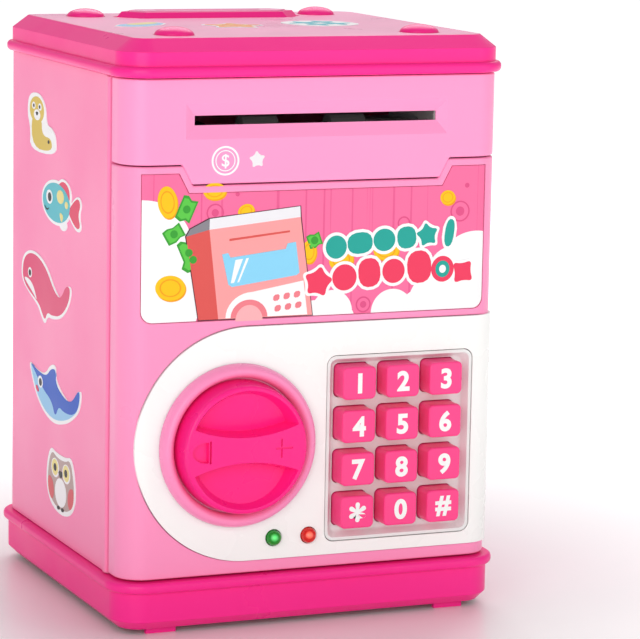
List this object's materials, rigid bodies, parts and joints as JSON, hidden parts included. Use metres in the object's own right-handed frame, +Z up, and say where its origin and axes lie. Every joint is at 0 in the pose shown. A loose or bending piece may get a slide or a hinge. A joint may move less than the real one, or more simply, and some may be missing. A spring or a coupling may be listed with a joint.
{
  "type": "toy safe coin bank",
  "caption": "Toy safe on a base: a lid with a coin slot and studs, a motorised note slot, and a hinged door with a knob, a latch, lamps and a keypad.",
  "frame": {"origin": "on the ground, under the middle of the whole thing, knob included", "axes": "+Z up, -Y out of the front, where the door, the knob and the keypad are"},
  "size_m": [0.134, 0.1346, 0.1899],
  "materials": {
    "light_pink": "smooth moulded light pink",
    "hot_pink": "smooth moulded hot pink",
    "key_pink": "moulded rose pink with white printed numbers",
    "white": "smooth moulded white",
    "grey": "fine-grained warm grey",
    "label_print": "printed and laminated",
    "green_lens": "clear-tinted lamp",
    "red_lens": "clear-tinted lamp",
    "steel": "bright plated",
    "rubber": "matt rubber",
    "board": "green circuit board",
    "dark_plastic": "matt black",
    "cell_wrap": "printed sleeve"
  },
  "bodies": {
    "bank": {"base_screw_1": "steel", "base_screw_2": "steel", "base_screw_3": "steel", "base_screw_4": "steel", "base_tray": "hot_pink", "battery_box": "white", "battery_cell_1": "cell_wrap", "battery_cell_2": "cell_wrap", "battery_cell_3": "cell_wrap", "battery_contact_left": "steel", "battery_contact_right": "steel", "battery_door": "light_pink", "battery_door_screw": "steel", "body_shell": "light_pink", "coin_slot_frame": "hot_pink", "coin_slot_plate": "light_pink", "feed_housing": "white", "feed_motor": "steel", "hinge_pin_lower": "steel", "hinge_pin_upper": "steel", "lid_frame": "hot_pink", "speaker": "dark_plastic", "top_plate": "light_pink", "upper_front_panel": "light_pink"},
    "door": {"door_panel": "light_pink", "door_label": "label_print", "control_panel": "white", "knob_ring": "light_pink", "keypad_tray": "grey", "key_mat": "rubber", "keypad_board": "board", "led_green": "green_lens", "led_red": "red_lens", "door_back_cover": "light_pink", "lock_solenoid": "dark_plastic"},
    "knob_and_latch": {"knob": "hot_pink", "knob_shaft": "steel", "latch_tongue": "steel", "lock_disc": "dark_plastic"},
    "pawl": {"lock_pawl": "steel"},
    "key_0_cap": {"key_0": "key_pink"},
    "key_1_cap": {"key_1": "key_pink"},
    "key_2_cap": {"key_2": "key_pink"},
    "key_3_cap": {"key_3": "key_pink"},
    "key_4_cap": {"key_4": "key_pink"},
    "key_5_cap": {"key_5": "key_pink"},
    "key_6_cap": {"key_6": "key_pink"},
    "key_7_cap": {"key_7": "key_pink"},
    "key_8_cap": {"key_8": "key_pink"},
    "key_9_cap": {"key_9": "key_pink"},
    "key_hash_cap": {"key_hash": "key_pink"},
    "key_star_cap": {"key_star": "key_pink"},
    "feed_drive": {"feed_shaft": "steel", "feed_gear": "white", "feed_roller_left": "rubber", "feed_roller_right": "rubber"},
    "pinch_idler": {"pinch_roller": "white"},
    "pinion": {"motor_pinion": "white"}
  },
  "joints": [
    {"name": "door_hinge", "type": "hinge", "parent": "bank", "child": "door", "pos_m": [0.062, -0.0461, 0.0179], "axis": [0, 0, 1], "range_deg": [0, 100]},
    {"name": "knob_turn", "type": "hinge", "parent": "door", "child": "knob_and_latch", "pos_m": [-0.0264, -0.0577, 0.0596], "axis": [0, 1, 0], "range_deg": [-90, 0]},
    {"name": "pawl_slide", "type": "slide", "parent": "door", "child": "pawl", "axis": [1, 0, 0], "range_m": [-0.003, 0]},
    {"name": "key_0_press", "type": "slide", "parent": "door", "child": "key_0_cap", "axis": [0, 1, 0], "range_m": [0, 0.0012], "stiffness_N_per_m": 300},
    {"name": "key_1_press", "type": "slide", "parent": "door", "child": "key_1_cap", "axis": [0, 1, 0], "range_m": [0, 0.0012], "stiffness_N_per_m": 300},
    {"name": "key_2_press", "type": "slide", "parent": "door", "child": "key_2_cap", "axis": [0, 1, 0], "range_m": [0, 0.0012], "stiffness_N_per_m": 300},
    {"name": "key_3_press", "type": "slide", "parent": "door", "child": "key_3_cap", "axis": [0, 1, 0], "range_m": [0, 0.0012], "stiffness_N_per_m": 300},
    {"name": "key_4_press", "type": "slide", "parent": "door", "child": "key_4_cap", "axis": [0, 1, 0], "range_m": [0, 0.0012], "stiffness_N_per_m": 300},
    {"name": "key_5_press", "type": "slide", "parent": "door", "child": "key_5_cap", "axis": [0, 1, 0], "range_m": [0, 0.0012], "stiffness_N_per_m": 300},
    {"name": "key_6_press", "type": "slide", "parent": "door", "child": "key_6_cap", "axis": [0, 1, 0], "range_m": [0, 0.0012], "stiffness_N_per_m": 300},
    {"name": "key_7_press", "type": "slide", "parent": "door", "child": "key_7_cap", "axis": [0, 1, 0], "range_m": [0, 0.0012], "stiffness_N_per_m": 300},
    {"name": "key_8_press", "type": "slide", "parent": "door", "child": "key_8_cap", "axis": [0, 1, 0], "range_m": [0, 0.0012], "stiffness_N_per_m": 300},
    {"name": "key_9_press", "type": "slide", "parent": "door", "child": "key_9_cap", "axis": [0, 1, 0], "range_m": [0, 0.0012], "stiffness_N_per_m": 300},
    {"name": "key_hash_press", "type": "slide", "parent": "door", "child": "key_hash_cap", "axis": [0, 1, 0], "range_m": [0, 0.0012], "stiffness_N_per_m": 300},
    {"name": "key_star_press", "type": "slide", "parent": "door", "child": "key_star_cap", "axis": [0, 1, 0], "range_m": [0, 0.0012], "stiffness_N_per_m": 300},
    {"name": "feed_turn", "type": "hinge", "parent": "bank", "child": "feed_drive", "pos_m": [0, -0.0427, 0.15795], "axis": [1, 0, 0], "continuous": true},
    {"name": "pinch_turn", "type": "hinge", "parent": "bank", "child": "pinch_idler", "pos_m": [0, -0.0427, 0.16575], "axis": [1, 0, 0], "continuous": true},
    {"name": "pinion_turn", "type": "hinge", "parent": "bank", "child": "pinion", "pos_m": [0.048, -0.0317, 0.15495], "axis": [1, 0, 0], "continuous": true}
  ],
  "couplings": [
    {"joint": "pinch_turn", "follows": "feed_turn", "ratio": -1.1429},
    {"joint": "pinion_turn", "follows": "feed_turn", "ratio": -2.1667}
  ]
}
